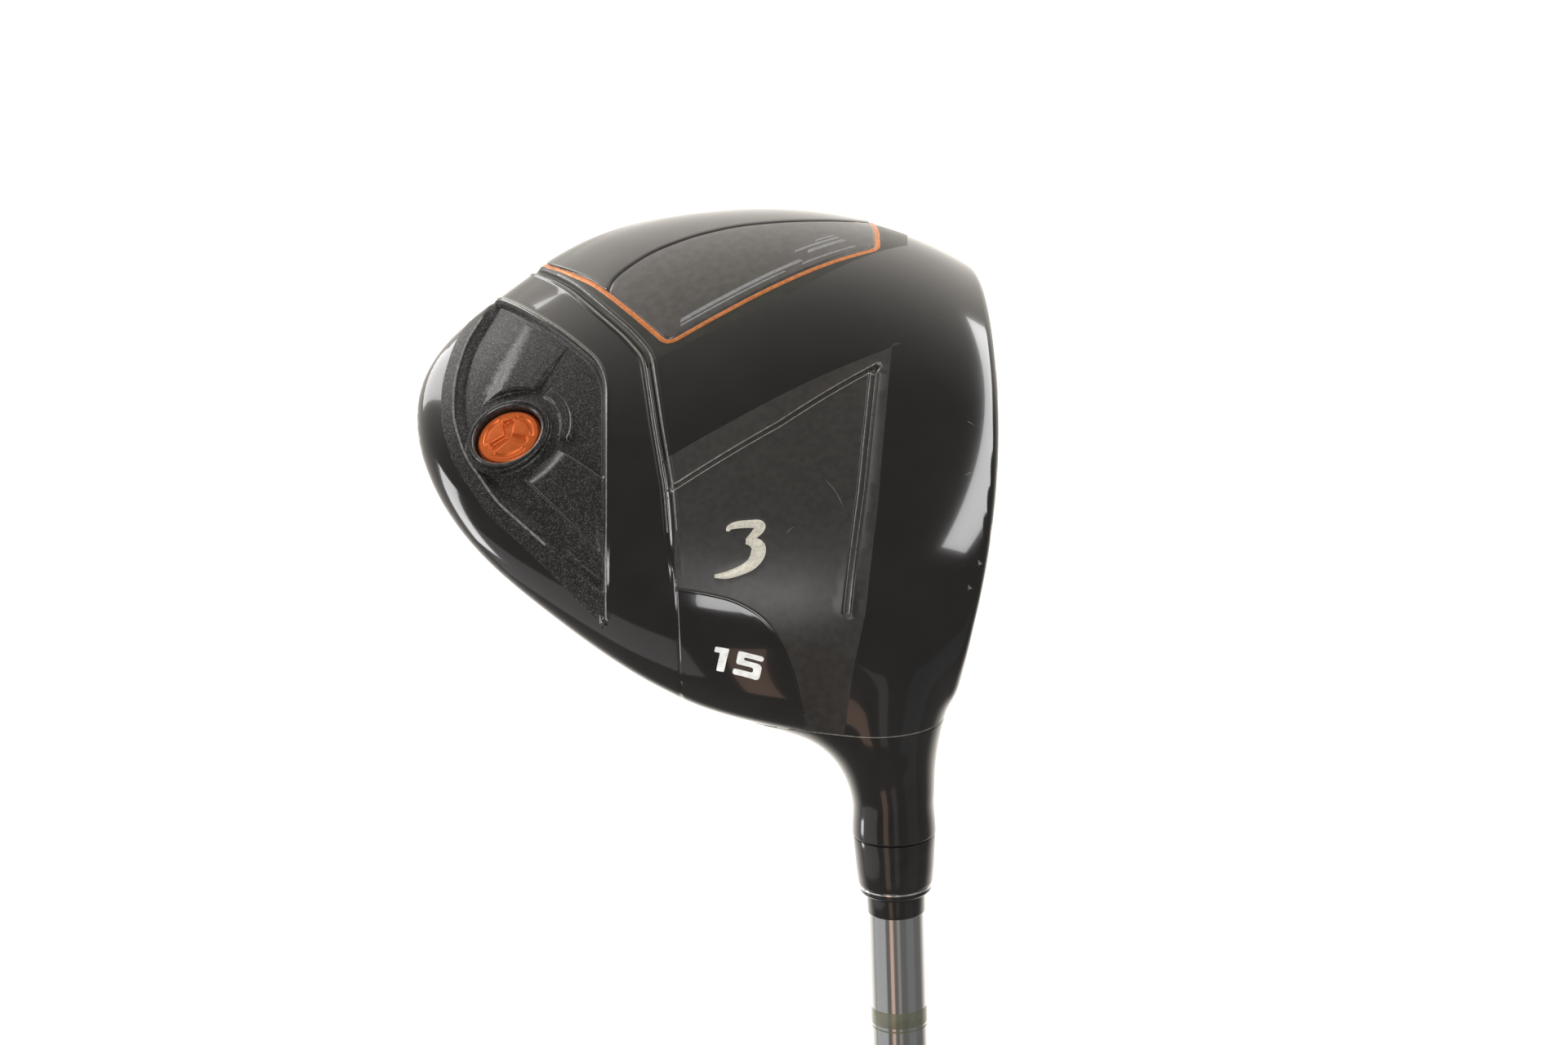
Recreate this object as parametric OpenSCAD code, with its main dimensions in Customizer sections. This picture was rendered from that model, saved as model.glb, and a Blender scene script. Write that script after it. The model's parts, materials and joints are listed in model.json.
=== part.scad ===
// Fairway wood, 3-wood size, right-handed.
// The club stands on the end of its grip with its head up: the origin is the centre of the
// grip cap's end face, +Z runs up the shaft to the head, +X is the way the ball is sent.
// Head shapes are written in the head's own frame: x from heel to toe, y towards the target,
// z up from the ground when the club is soled, with the origin where the shaft axis meets
// the ground. head_frame() carries them into the club's frame.

/* [Club] */
// Length from the grip's end to the ground, along the shaft
club_l = 1092; // [1066:1:1105]
// Lie, the angle between the shaft and the ground
lie = 58.5; // [57:0.5:60]
// Loft of the face
loft = 15; // [14:0.5:16.5]

/* [Head] */
// Height of the crown over the ground
crown_h = 38; // [36.5:0.5:39.5]
// How far the leading edge is ahead of the shaft axis
face_lead = 19; // [18:0.5:19.5]
// Depth of the cup that the face forms, front to back
cup_depth = 11; // [9:0.5:12]
// Thickness of the sole and skirt
sole_t = 1.3; // [1.1:0.1:1.5]
// Thickness of the crown
crown_t = 0.8; // [0.7:0.1:1]
// Thickness of the face
face_t = 2; // [1.8:0.1:2.4]

/* [Hosel] */
// Outside diameter of the hosel at its top
hosel_d = 12.8; // [12.6:0.1:13]
// Distance from the ground to the hosel's top, along the shaft
hosel_top = 50; // [49:0.5:51]
// Depth of the hosel's bore
bore_depth = 38; // [34:1:38]
// Length of the ferrule
ferrule_l = 9.7; // [9:0.1:10.5]
// Length of the collar above the ferrule
collar_l = 3.4; // [3:0.1:4]

/* [Sole weight] */
// Diameter of the weight's head
weight_d = 10.2; // [10:0.1:10.4]
// Pitch of its thread
thread_pitch = 1; // [0.8:0.1:1]
// Distance of the weight behind the shaft axis
weight_back = 57.5; // [57:0.5:58]

/* [Shaft and grip] */
// Diameter of the shaft's tip
tip_d = 8.7; // [8.6:0.05:8.8]
// Diameter of the shaft's butt
butt_d = 15.2; // [15:0.1:15.4]
// Length of the grip
grip_l = 267; // [260:1:275]
// Diameter of the grip cap
cap_d = 29; // [28.5:0.5:31]
// Diameter of the vent hole in the cap
vent_d = 3; // [2.8:0.1:3.2]

/* [Hidden] */

// Outline of the head at its girth: distances from its middle, evenly spaced in angle,
// counter-clockwise from the toe; those ahead of the face are cut off by it.
girth = [46.5, 48.5, 52.5, 57, 60, 60, 58, 52.5, 46.2, 40, 37.6, 39.8, 44.4, 48, 46, 46.5];
head_mid = [29, -26];
// The girth line is level apart from a slight drop towards the toe.
girth_h = 18.5;
girth_drop = 0.06;
seam_up = 0.8;
// The sole touches the ground near here, and rises behind it to a steady slope.
sole_low = [30, -6];
sole_slope = 0.27;
// Bulge of the face on its heel and toe halves, its roll, and where they start from
bulge_heel_r = 240;
bulge_toe_r = 650;
roll_r = 300;
face_mid_h = 4;
face_mid = 31;
// Steps round and across the head's skin
around = 64;
rings = 10;
// Steps across and up the face
face_nx = 15;
face_nz = 6;
// Clearance of a glued or pressed joint
glue = 0.05;
seg = 64;

// Weight recess, measured from the sole inwards
weight_tilt = 16;
weight_at = [28.5, -weight_back];
port_r = 6.5;
port_depth = 9.7;
port_rim = 0.4;
pocket_depth = 3.4;
washer_t = 0.5;
shank_r = 3.6;
shank_l = 5.5;
thread_h = 0.3;
head_h = 2.2;
gap = 0.02;

// The badge's outline on the toe side of the sole
badge = [
    [65.5, -51], [57, -43.5], [41.2, -32.7], [40.2, -31.4], [40.6, -30],
    [58.2, -0.4], [60.6, 0.6], [64, 0.4], [80, -2], [80, -51],
];
badge_proud = 0.3;
badge_in = 0.6;
badge_top = 14.9;
trim_w = 0.7;

// Shaft stations, as heights in the club's frame
hosel_foot = 9;
hosel_z = club_l - hosel_top;
bore_z = hosel_z + bore_depth;
ferrule_z = hosel_z - ferrule_l;
collar_z = ferrule_z - collar_l;
parallel_l = 76;
wall_tip = 1.4;
wall_butt = 1.1;
tape_t = 0.25;
cap_t = 3.5;
grip_mouth_r = 8.9;

function spline(p0, p1, p2, p3, u) =
    p1 + u / 2 * (p2 - p0 + u * (2 * p0 - 5 * p1 + 4 * p2 - p3 + u * (3 * (p1 - p2) + p3 - p0)));

function girth_r(a) =
    let (n = len(girth), q = a / 360 * n, i = floor(q))
    spline(girth[(i + n - 1) % n], girth[i % n], girth[(i + 1) % n], girth[(i + 2) % n], q - i);

function girth_z(x) = girth_h - girth_drop * (x - head_mid[0]);

// Height of the sole and of the crown before they turn into the girth
function sole_base(x, y) =
    let (d = sole_low[1] - y)
    pow(x - sole_low[0], 2) / 500
    + (d > 0 ? sole_slope * (sqrt(d * d + 484) - 22) : d * d / 220);

function crown_base(x, y) = crown_h - pow(y - 2, 2) / 450 - pow(x - 32, 2) / 830;

function sole_z(x, y, part, wall) =
    girth_z(x) - (girth_z(x) - sole_base(x, y) - wall) * sqrt(1 - pow(part, 5));

function crown_z(x, y, part, wall) =
    girth_z(x) + (crown_base(x, y) - wall - girth_z(x)) * pow(1 - pow(part, 3), 0.6);

function skin_xy(a, part, wall) =
    head_mid + part * (girth_r(a) - wall) * [cos(a), sin(a)];

function sole_point(a, part, wall) =
    let (p = skin_xy(a, part, wall)) [p[0], p[1], sole_z(p[0], p[1], part, wall)];

function crown_point(a, part, wall) =
    let (p = skin_xy(a, part, wall)) [p[0], p[1], crown_z(p[0], p[1], part, wall)];

// The face: its distance ahead of the shaft axis at a width and a height
function face_y(x, z, back) =
    face_lead - back - tan(loft) * (z - face_mid_h)
    - pow(x - face_mid, 2) / 2 / (x < face_mid ? bulge_heel_r : bulge_toe_r)
    - pow(z - 18, 2) / 2 / roll_r;

module head_frame() {
    multmatrix([
        [0, 1, 0, 0],
        [sin(lie), 0, cos(lie), 0],
        [cos(lie), 0, -sin(lie), club_l],
        [0, 0, 0, 1],
    ]) children();
}

// The head's closed skin without its face, moved in by a wall's thickness
module skin(wall_low, wall_top) {
    parts = [for (j = [1:rings]) sin(90 * j / rings)];
    low = [for (p = parts, i = [0:around - 1]) sole_point(360 * i / around, p, wall_low)];
    top = [
        for (j = [rings - 2:-1:0], i = [0:around - 1])
            crown_point(360 * i / around, parts[j], wall_top)
    ];
    shells = 2 * rings - 1;
    last = shells * around + 1;
    polyhedron(
        [sole_point(0, 0, wall_low), each low, each top, crown_point(0, 0, wall_top)],
        [
            for (i = [0:around - 1]) [0, 1 + i, 1 + (i + 1) % around],
            for (j = [0:shells - 2], i = [0:around - 1])
                let (k = (i + 1) % around, b = 1 + j * around, t = b + around)
                each [[b + i, t + i, t + k], [b + i, t + k, b + k]],
            for (i = [0:around - 1])
                [last, last - around + (i + 1) % around, last - around + i],
        ],
        convexity = 4
    );
}

// Everything behind the face, moved back by a distance
module behind_face(back) {
    x0 = -50;
    x1 = 90;
    z0 = -12;
    z1 = 56;
    sheet = [
        for (i = [0:face_nx], j = [0:face_nz])
            let (x = x0 + (x1 - x0) * i / face_nx, z = z0 + (z1 - z0) * j / face_nz)
            [x, face_y(x, z, back), z]
    ];
    n = (face_nx + 1) * (face_nz + 1);
    m = face_nz + 1;
    rear = -120;
    polyhedron(
        [each sheet, for (p = sheet) [p[0], rear, p[2]]],
        [
            for (i = [0:face_nx - 1], j = [0:face_nz - 1])
                let (a = i * m + j, b = a + m)
                each [[a, b + 1, a + 1], [a, b, b + 1], [n + a, n + a + 1, n + b + 1], [n + a, n + b + 1, n + b]],
            for (i = [0:face_nx - 1])
                let (a = i * m, b = a + m, c = a + face_nz, d = b + face_nz)
                each [[a, n + b, b], [a, n + a, n + b], [c, d, n + d], [c, n + d, n + c]],
            for (j = [0:face_nz - 1])
                let (a = j, b = a + 1, c = face_nx * m + j, d = c + 1)
                each [[a, b, n + b], [a, n + b, n + a], [c, n + d, d], [c, n + c, n + d]],
        ],
        convexity = 4
    );
}

// The cast and welded shell before it is divided
module shell() {
    difference() {
        intersection() {
            skin(0, 0);
            behind_face(0);
        }
        intersection() {
            skin(sole_t, crown_t);
            behind_face(face_t);
        }
    }
}

// The space below the seam of sole and crown, just over the girth line
module below_seam() {
    translate([head_mid[0], -50, girth_h + seam_up])
        rotate([0, atan(girth_drop), 0])
            translate([-100, -100, -60])
                cube([200, 200, 60]);
}

// The hole that the hosel is welded into, which stops short of the sole
module hosel_hole() {
    rotate([0, lie - 90, 0])
        translate([0, 0, hosel_foot - 1])
            cylinder(h = 80, r = hosel_d / 2 + glue, $fn = seg);
}

// The weight's own frame: origin on the sole, +Z out of the sole
module weight_frame() {
    z = sole_z(weight_at[0], weight_at[1], weight_part(), 0);
    translate([weight_at[0], weight_at[1], z])
        rotate([180 - weight_tilt, 0, 0])
            children();
}

function weight_part() =
    let (v = weight_at - head_mid) norm(v) / girth_r(360 + atan2(v[1], v[0]));

module badge_prism(grow) {
    translate([0, 0, -10])
        linear_extrude(badge_top + 10 + grow)
            offset(delta = grow)
                polygon(badge);
}

module sole_body() {
    color("#1b1a1c")
        head_frame()
            resize([0, 0, 0])
                difference() {
                    intersection() {
                        shell();
                        behind_face(cup_depth);
                        below_seam();
                    }
                    hosel_hole();
                    weight_frame()
                        translate([0, 0, -12])
                            cylinder(h = 20, r = port_r + 0.1, $fn = 48);
                    difference() {
                        badge_prism(trim_w + 0.1);
                        skin(badge_in + glue, crown_t);
                    }
                }
}

module crown() {
    color("#101012")
        head_frame()
            resize([0, 0, 0])
                difference() {
                    intersection() {
                        shell();
                        behind_face(cup_depth);
                    }
                    below_seam();
                    hosel_hole();
                }
}

module face_cup() {
    color("#2a2a2d")
        head_frame()
            resize([0, 0, 0])
                difference() {
                    shell();
                    behind_face(cup_depth);
                    hosel_hole();
                }
}

module hosel() {
    r = hosel_d / 2;
    foot = club_l - hosel_foot;
    waist = 0.4;
    color("#141416")
        rotate_extrude($fn = seg)
            polygon([
                [0, foot],
                [r - 1, foot],
                [r, foot - 1],
                [r, hosel_z + 8],
                [r - waist, hosel_z + 5],
                [r - waist, hosel_z + 3],
                [r, hosel_z + 0.5],
                [r - 0.2, hosel_z],
                [tip_d / 2 + glue, hosel_z],
                [tip_d / 2 + glue, bore_z],
                [0, bore_z],
            ]);
}

// Weight pad cast low and forward, on the inside of the sole
module sole_pad() {
    pad_t = 3;
    color("#8d8f92")
        head_frame()
            resize([0, 0, 0])
                intersection() {
                    difference() {
                        skin(sole_t + glue, crown_t);
                        skin(sole_t + pad_t, crown_t);
                    }
                    translate([14, -20, -5])
                        cube([38, 19, 15]);
                }
}

module toe_badge() {
    color("#26231f")
        head_frame()
            resize([0, 0, 0])
                difference() {
                    intersection() {
                        skin(-badge_proud, crown_t);
                        badge_prism(0);
                    }
                    skin(badge_in, crown_t);
                }
}

module toe_trim() {
    color("#c9682a")
        head_frame()
            resize([0, 0, 0])
                difference() {
                    intersection() {
                        skin(-badge_proud / 2, crown_t);
                        badge_prism(trim_w);
                        translate([30, -54, -10])
                            cube([41, 58, 10 + badge_top]);
                    }
                    badge_prism(glue);
                    skin(badge_in, crown_t);
                }
}

module weight_port() {
    pocket = weight_d / 2 + 0.2;
    color("#1f1f22")
        head_frame()
            weight_frame()
                rotate_extrude($fn = seg)
                    polygon([
                        [0, -port_depth],
                        [port_r, -port_depth],
                        [port_r, -port_rim],
                        [pocket + 0.8, -port_rim],
                        [pocket, -port_rim - 0.8],
                        [pocket, -pocket_depth],
                        [shank_r + 0.15, -pocket_depth],
                        [shank_r + 0.15, -port_depth + 0.6],
                        [0, -port_depth + 0.6],
                    ]);
}

module weight_washer() {
    color("#2b2b2b")
        head_frame()
            weight_frame()
                translate([0, 0, -pocket_depth + gap])
                    difference() {
                        cylinder(h = washer_t, r = weight_d / 2 - 0.1, $fn = seg);
                        translate([0, 0, -1])
                            cylinder(h = washer_t + 2, r = shank_r + 0.2, $fn = seg);
                    }
}

// Three-lobed key recess in the weight's head
module key_recess() {
    lobes = 3;
    for (i = [0:lobes - 1])
        rotate(i * 360 / lobes + 90)
            translate([1.9, 0, 0])
                cylinder(h = 2, r = 1.1, $fn = 32);
    cylinder(h = 2, r = 1.6, $fn = 32);
}

module weight_screw() {
    seat = -pocket_depth + washer_t + 2 * gap;
    color("#d0602c")
        head_frame()
            weight_frame() {
                translate([0, 0, seat])
                    difference() {
                        cylinder(h = head_h, r = weight_d / 2, $fn = seg);
                        translate([0, 0, head_h - 1.1])
                            key_recess();
                    }
                translate([0, 0, seat - shank_l])
                    linear_extrude(shank_l, twist = -360 * shank_l / thread_pitch, slices = 66)
                        translate([thread_h, 0])
                            circle(r = shank_r - thread_h, $fn = 24);
            }
}

module ferrule() {
    r = hosel_d / 2 - 0.35;
    color("#0d0d0e")
        rotate_extrude($fn = seg)
            polygon([
                [tip_d / 2 + gap, hosel_z - gap],
                [r, hosel_z - gap],
                [r - 0.05, hosel_z - 3],
                [r - 0.4, ferrule_z + 1.6],
                [tip_d / 2 + gap, ferrule_z + 1.6],
            ]);
}

// Bright trim ring let in near the ferrule's end
module ferrule_ring() {
    r = hosel_d / 2 - 0.75;
    color("silver")
        translate([0, 0, ferrule_z + 1.1])
            difference() {
                cylinder(h = 0.48, r = r, $fn = seg);
                translate([0, 0, -1])
                    cylinder(h = 3, r = tip_d / 2 + gap, $fn = seg);
            }
}

module tip_collar() {
    lip_r = hosel_d / 2 - 0.8;
    r = tip_d / 2 + 0.15;
    color("#161617")
        rotate_extrude($fn = seg)
            polygon([
                [tip_d / 2 + gap, ferrule_z + 1.08],
                [lip_r, ferrule_z + 1.08],
                [lip_r, ferrule_z + 0.6],
                [lip_r - 0.6, ferrule_z],
                [r, ferrule_z - 0.2],
                [r - 0.05, collar_z],
                [tip_d / 2 + gap, collar_z],
            ]);
}

// Plug that keeps glue out of the shaft's bore
module tip_plug() {
    color("#c8b48a")
        translate([0, 0, bore_z - 14])
            cylinder(h = 12, r = tip_d / 2 - wall_tip - 0.02, $fn = seg);
}

module shaft() {
    top = bore_z - glue;
    bottom = cap_t + gap;
    taper_z = top - parallel_l;
    color("#b9bcc0")
        rotate_extrude($fn = seg)
            polygon([
                [tip_d / 2, top],
                [tip_d / 2, taper_z],
                [butt_d / 2, bottom + 60],
                [butt_d / 2, bottom],
                [butt_d / 2 - wall_butt, bottom],
                [butt_d / 2 - wall_butt, bottom + 60],
                [tip_d / 2 - wall_tip, taper_z],
                [tip_d / 2 - wall_tip, top],
            ]);
}

// Brass counterweight pushed into the shaft's butt
module butt_weight() {
    r = butt_d / 2 - wall_butt - 0.03;
    color("#b08d4a")
        translate([0, 0, cap_t + 0.5])
            rotate_extrude($fn = seg)
                polygon([[2.5, 0], [r, 0], [r, 13], [r - 0.6, 14], [2.5, 14]]);
}

function shaft_r(z) =
    let (z0 = cap_t + gap + 60, z1 = bore_z - glue - parallel_l)
    z < z0 ? butt_d / 2 : butt_d / 2 + (tip_d - butt_d) / 2 * (z - z0) / (z1 - z0);

// Double-sided tape that the grip is bonded with
module grip_tape() {
    end = grip_l - 8;
    bend = cap_t + gap + 60;
    color("#d8d2bd")
        rotate_extrude($fn = seg)
            polygon([
                [shaft_r(0) + gap, cap_t + 1],
                [shaft_r(0) + tape_t, cap_t + 1],
                [shaft_r(0) + tape_t, bend],
                [shaft_r(end) + tape_t, end],
                [shaft_r(end) + gap, end],
                [shaft_r(0) + gap, bend],
            ]);
}

module grip() {
    skin_t = tape_t + gap;
    bend = cap_t + gap + 60;
    color("#18181a")
        rotate_extrude($fn = seg)
            polygon([
                [shaft_r(0) + skin_t, cap_t + gap],
                [cap_d / 2 - 1, cap_t + gap],
                [cap_d / 2 - 2, 12],
                [11.9, 45],
                [10.6, 110],
                [9.7, 190],
                [grip_mouth_r, grip_l - 3],
                [grip_mouth_r - 0.6, grip_l],
                [shaft_r(grip_l) + skin_t, grip_l],
                [shaft_r(0) + skin_t, bend],
            ]);
}

module grip_cap() {
    r = cap_d / 2;
    color("#222225")
        difference() {
            rotate_extrude($fn = seg)
                polygon([[0, 0], [r - 1.2, 0], [r, 1.2], [r, cap_t - 0.6], [r - 0.6, cap_t], [0, cap_t]]);
            translate([0, 0, -1])
                cylinder(h = cap_t + 2, r = vent_d / 2, $fn = seg);
        }
}

sole_body();
crown();
face_cup();
hosel();
sole_pad();
toe_badge();
toe_trim();
weight_port();
weight_washer();
weight_screw();
ferrule();
ferrule_ring();
tip_collar();
tip_plug();
shaft();
butt_weight();
grip_tape();
grip();
grip_cap();
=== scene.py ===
import json
import math

import bmesh
import bpy
import numpy as np
from mathutils import Matrix, Vector
from mathutils.geometry import delaunay_2d_cdt


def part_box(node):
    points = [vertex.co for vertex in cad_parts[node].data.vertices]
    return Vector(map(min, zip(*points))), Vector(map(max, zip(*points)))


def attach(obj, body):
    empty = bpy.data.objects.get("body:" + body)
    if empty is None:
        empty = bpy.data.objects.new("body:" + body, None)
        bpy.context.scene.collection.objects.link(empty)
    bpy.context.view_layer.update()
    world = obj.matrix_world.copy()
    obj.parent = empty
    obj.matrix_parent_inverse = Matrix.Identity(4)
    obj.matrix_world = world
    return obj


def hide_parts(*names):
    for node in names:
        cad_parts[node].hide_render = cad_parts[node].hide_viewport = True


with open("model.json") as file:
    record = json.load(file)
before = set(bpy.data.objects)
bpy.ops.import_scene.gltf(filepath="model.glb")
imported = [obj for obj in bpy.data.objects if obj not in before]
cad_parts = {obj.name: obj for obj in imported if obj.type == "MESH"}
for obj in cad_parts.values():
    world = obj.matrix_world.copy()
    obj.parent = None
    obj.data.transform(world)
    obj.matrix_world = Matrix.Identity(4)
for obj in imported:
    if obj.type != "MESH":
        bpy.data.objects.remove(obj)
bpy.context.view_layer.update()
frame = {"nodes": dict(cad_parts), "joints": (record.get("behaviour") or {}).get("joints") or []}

# ---------------------------------------------------------------- head shape
# The head's own frame, in mm: x heel to toe, y to the target, z up from the ground.
CLUB_L = 1092.0
LIE = math.radians(58.5)
LOFT = math.radians(15)
GIRTH = np.array([46.5, 48.5, 52.5, 57, 60, 60, 58, 52.5, 46.2, 40, 37.6, 39.8, 44.4, 48, 46, 46.5])
MID = (29.0, -26.0)
CORE = np.array([29.0, -26.0, 18.0])
NECK_S = 31.0  # where the neck's seam lies, along the hosel from the ground
NECK_END = 50.0  # where the ferrule starts
AXIS = np.array([-math.cos(LIE), 0, math.sin(LIE)])

count = len(GIRTH)
rows = np.eye(count) * 4 + np.roll(np.eye(count), 1, 0) + np.roll(np.eye(count), -1, 0)
GIRTH_B = np.linalg.solve(rows / 6, GIRTH)


def smooth(t):
    t = np.clip(t, 0, 1)
    return t * t * (3 - 2 * t)


def girth_r(angle):
    q = (angle / (2 * math.pi) % 1) * count
    i = np.floor(q).astype(int)
    u = q - i
    b = [GIRTH_B[(i + k) % count] for k in (-1, 0, 1, 2)]
    return (
        b[0] * (1 - u) ** 3 + b[1] * (3 * u**3 - 6 * u * u + 4)
        + b[2] * (-3 * u**3 + 3 * u * u + 3 * u + 1) + b[3] * u**3
    ) / 6


def girth_z(x):
    return 18.5 - 0.06 * (x - MID[0])


def sole_base(x, y):
    d = -6 - y
    rise = np.where(d > 0, 0.27 * (np.sqrt(d * d + 484) - 22), d * d / 220)
    return (x - 30) ** 2 / 500 + rise


def crown_base(x, y):
    return 38 - (y - 2) ** 2 / 450 - (x - 32) ** 2 / 830


def face_y(x, z):
    bulge = (x - 31) ** 2 / np.where(x < 31, 480, 1300)
    return 19.0 - math.tan(LOFT) * (z - 4) - bulge - (z - 18) ** 2 / 600


def smin(a, b, k):
    h = np.clip(0.5 + 0.5 * (b - a) / k, 0, 1)
    return b + (a - b) * h - k * h * (1 - h)


def smax(a, b, k):
    return -smin(-a, -b, k)


def body(x, y, z):
    dx = x - MID[0]
    dy = y - MID[1]
    gr = girth_r(np.arctan2(dy, dx))
    rho = np.hypot(dx, dy) / gr
    zg = girth_z(x)
    t = smooth((z - zg) / 8 + 0.5)
    low = np.maximum(zg - sole_base(x, y), 4)
    top = np.maximum(crown_base(x, y) - zg, 4)
    half = low + (top - low) * t
    w = np.abs(z - zg) / half
    r4 = rho**4
    g_low = r4 * rho + w * w
    g_top = rho**3 + w ** (5 / 3)
    g = g_low + (g_top - g_low) * t - 1
    slope_r = (5 * r4 + (3 * rho * rho - 5 * r4) * t) / gr
    slope_z = (2 * w + (5 / 3 * w ** (2 / 3) - 2 * w) * t) / half
    return g / np.maximum(np.hypot(slope_r, slope_z), 0.03)


def neck_r(s):
    return 6.45 - 0.2 * np.exp(-(((s - 45.5) / 2.6) ** 2)) + 0.15 * smooth((38 - s) / 8)


FAIR_A, FAIR_B = np.array([-15.8, -3.4, 26.8]), np.array([-7.5, -24.0, 20.5])


def fairing(p):
    ab = FAIR_B - FAIR_A
    t = np.clip(((p - FAIR_A) @ ab) / (ab @ ab), 0, 1)
    return np.linalg.norm(p - FAIR_A - t[..., None] * ab, axis=-1) - (6.9 - 0.9 * t)


def field(p):
    x, y, z = p[..., 0], p[..., 1], p[..., 2]
    s = x * AXIS[0] + z * AXIS[2]
    away = np.sqrt((x - s * AXIS[0]) ** 2 + y * y + (z - s * AXIS[2]) ** 2)
    head = smax(body(x, y, z), (y - face_y(x, z)) * math.cos(LOFT), 1.4)
    tube = smax(away - neck_r(s), 22 - s, 4)
    return smin(smin(head, fairing(p), 6), tube, 7.5)


def cut_field(p):
    s = p[..., 0] * AXIS[0] + p[..., 2] * AXIS[2]
    return np.maximum(field(p), s - NECK_S)


def root(origin, along, near, far, fn, steps=26):
    """Distance along each ray to the first place outside the head."""
    lo = np.full(len(along), float(near))
    hi = np.full(len(along), float(far))
    found = np.zeros(len(along), bool)
    for t in np.linspace(near, far, steps)[1:]:
        out = fn(origin + along * t) > 0
        new = out & ~found
        hi[new] = t
        found |= out
        lo[~found] = t
    for _ in range(22):
        mid = (lo + hi) / 2
        out = fn(origin + along * mid[:, None]) > 0
        hi = np.where(out, mid, hi)
        lo = np.where(out, lo, mid)
    return (lo + hi) / 2


def normals_of(p, fn=field):
    e = 0.02
    n = np.stack([fn(p + e * v) - fn(p - e * v) for v in np.eye(3)], -1)
    return n / np.maximum(np.linalg.norm(n, axis=1, keepdims=True), 1e-9)


def to_club(p):
    p = np.asarray(p, float)
    c, d = math.sin(LIE), math.cos(LIE)
    x, y, z = p[..., 0], p[..., 1], p[..., 2]
    return np.stack([y, c * x + d * z, d * x - c * z + CLUB_L], -1) / 1000


def turn_to_club(v):
    c, d = math.sin(LIE), math.cos(LIE)
    x, y, z = v[..., 0], v[..., 1], v[..., 2]
    return np.stack([y, c * x + d * z, d * x - c * z], -1)


# ---------------------------------------------------------------- flat charts
CHART_MID, CHART_OUT, FRONT_FAR = 18, 65, 44
CHART_TURN = math.pi / 3
CHART_EDGE = CHART_MID * math.tan(CHART_TURN)


def to_chart(p, up):
    """Skin points on a flat chart seen from below (up = -1) or above, stretched out at the rim."""
    d = p - CORE
    d = d / np.linalg.norm(d, axis=1, keepdims=True)
    th = np.arccos(np.clip(d[:, 2] * up, -1, 1))
    flat = CHART_MID * np.tan(np.minimum(th, CHART_TURN))
    g = np.where(th < CHART_TURN, flat, CHART_EDGE + CHART_OUT * (th - CHART_TURN))
    return d[:, :2] / np.maximum(np.hypot(d[:, 0], d[:, 1]), 1e-9)[:, None] * g[:, None]


def from_chart(c, up):
    r = np.hypot(c[:, 0], c[:, 1])
    th = np.where(r < CHART_EDGE, np.arctan(r / CHART_MID), CHART_TURN + (r - CHART_EDGE) / CHART_OUT)
    k = np.sin(th) / np.maximum(r, 1e-9)
    return np.stack([c[:, 0] * k, c[:, 1] * k, up * np.cos(th)], -1)


def to_front(p, _up):
    d = p - CORE
    return d[:, [0, 2]] / d[:, 1:2] * FRONT_FAR


def from_front(c, _up):
    d = np.stack([c[:, 0] / FRONT_FAR, np.ones(len(c)), c[:, 1] / FRONT_FAR], -1)
    return d / np.linalg.norm(d, axis=1, keepdims=True)


def inside(px, py, loop):
    loop = np.asarray(loop, float)
    hit = np.zeros(px.shape, bool)
    x0, y0 = loop[-1]
    for x1, y1 in loop:
        if y0 != y1:
            cross = ((y0 > py) != (y1 > py)) & (px < (x1 - x0) * (py - y0) / (y1 - y0) + x0)
            hit ^= cross
        x0, y0 = x1, y1
    return hit


def line_distance(px, py, line):
    """Distance to a polyline, the side that the point is on, and how far along it is."""
    line = np.asarray(line, float)
    best = np.full(px.shape, 1e9)
    side = np.zeros(px.shape)
    where = np.zeros(px.shape)
    run = 0.0
    for (ax, ay), (bx, by) in zip(line[:-1], line[1:]):
        ex, ey = bx - ax, by - ay
        length = math.hypot(ex, ey)
        if length < 1e-9:
            continue
        t = np.clip(((px - ax) * ex + (py - ay) * ey) / length**2, 0, 1)
        dx, dy = px - ax - t * ex, py - ay - t * ey
        d = np.hypot(dx, dy)
        less = d < best
        best = np.where(less, d, best)
        side = np.where(less, np.sign(ex * dy - ey * dx), side)
        where = np.where(less, run + t * length, where)
        run += length
    return best, side, where


def rounded(points, r, closed=False):
    """The polyline with its corners turned into short curves."""
    p = [np.array(v, float) for v in points]
    out = []
    n = len(p)
    for i in range(n):
        if not closed and i in (0, n - 1):
            out.append(p[i])
            continue
        a, b, c = p[i - 1], p[i], p[(i + 1) % n]
        la, lc = np.linalg.norm(a - b), np.linalg.norm(c - b)
        s = b + (a - b) * min(r, la * 0.45) / la
        e = b + (c - b) * min(r, lc * 0.45) / lc
        for u in (0, 0.25, 0.5, 0.75, 1):
            out.append(s * (1 - u) ** 2 + 2 * b * u * (1 - u) + e * u * u)
    return np.array(out)


def resampled(line, step, closed=False):
    line = np.asarray(line, float)
    if closed:
        line = np.vstack([line, line[:1]])
    seg = np.linalg.norm(np.diff(line, axis=0), axis=1)
    run = np.concatenate([[0], np.cumsum(seg)])
    n = max(2, int(round(run[-1] / step)) + 1)
    at = np.linspace(0, run[-1], n)
    out = np.stack([np.interp(at, run, line[:, k]) for k in range(line.shape[1])], -1)
    return out[:-1] if closed else out


def moved(line, by, closed=False):
    """The polyline moved sideways; positive goes to its left."""
    if closed:
        t = np.roll(line, -1, 0) - np.roll(line, 1, 0)
    else:
        t = np.gradient(line, axis=0)
    t = t / np.maximum(np.linalg.norm(t, axis=1, keepdims=True), 1e-9)
    return line + by * np.stack([-t[:, 1], t[:, 0]], -1)


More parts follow.
